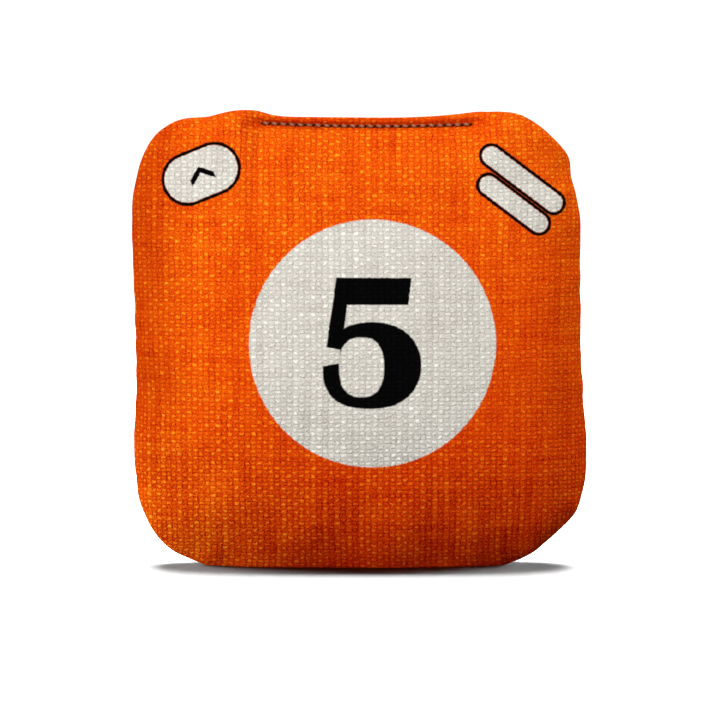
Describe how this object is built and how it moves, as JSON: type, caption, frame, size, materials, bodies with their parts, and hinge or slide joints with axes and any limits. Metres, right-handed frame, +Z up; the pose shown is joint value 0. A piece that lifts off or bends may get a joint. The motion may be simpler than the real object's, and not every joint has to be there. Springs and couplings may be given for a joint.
{
  "type": "cornhole bag",
  "caption": "Square stuffed cloth throwing bag with rounded corners, orange with a white roundel and a black numeral, pinched and topstitched along its upper edge.",
  "frame": {"origin": "on the surface the bag stands on, below the middle of its outer box", "axes": "+X to the right and +Z up as the slow side is looked at; the slow side faces -Y and the fast side +Y"},
  "size_m": [0.1524, 0.0496, 0.1524],
  "materials": {
    "orange_plain_weave": "coarse plain weave with slubby yarns, matt",
    "orange_twill": "fine smooth twill with a slight sheen",
    "white_print": "off-white printed cloth, the weave showing",
    "black_print": "black printed cloth, matt",
    "sewing_thread": "grey-brown bonded twisted thread, slight sheen",
    "resin_pellets": "round milky resin pellets, satin"
  },
  "bodies": {
    "root": {"slow_side_panel": "orange_plain_weave", "fast_side_panel": "orange_twill", "pellet_fill": "resin_pellets", "outer_seam_needle_thread": "sewing_thread", "outer_seam_bobbin_thread": "sewing_thread", "inner_seam_needle_thread": "sewing_thread", "inner_seam_bobbin_thread": "sewing_thread", "closure_needle_thread": "sewing_thread", "closure_bobbin_thread": "sewing_thread", "slow_side_roundel": "white_print", "slow_side_numeral": "black_print", "slow_side_badge": "white_print", "slow_side_label_bars": "white_print", "fast_side_roundel": "white_print", "fast_side_numeral": "black_print", "fast_side_badge": "white_print"}
  },
  "joints": []
}
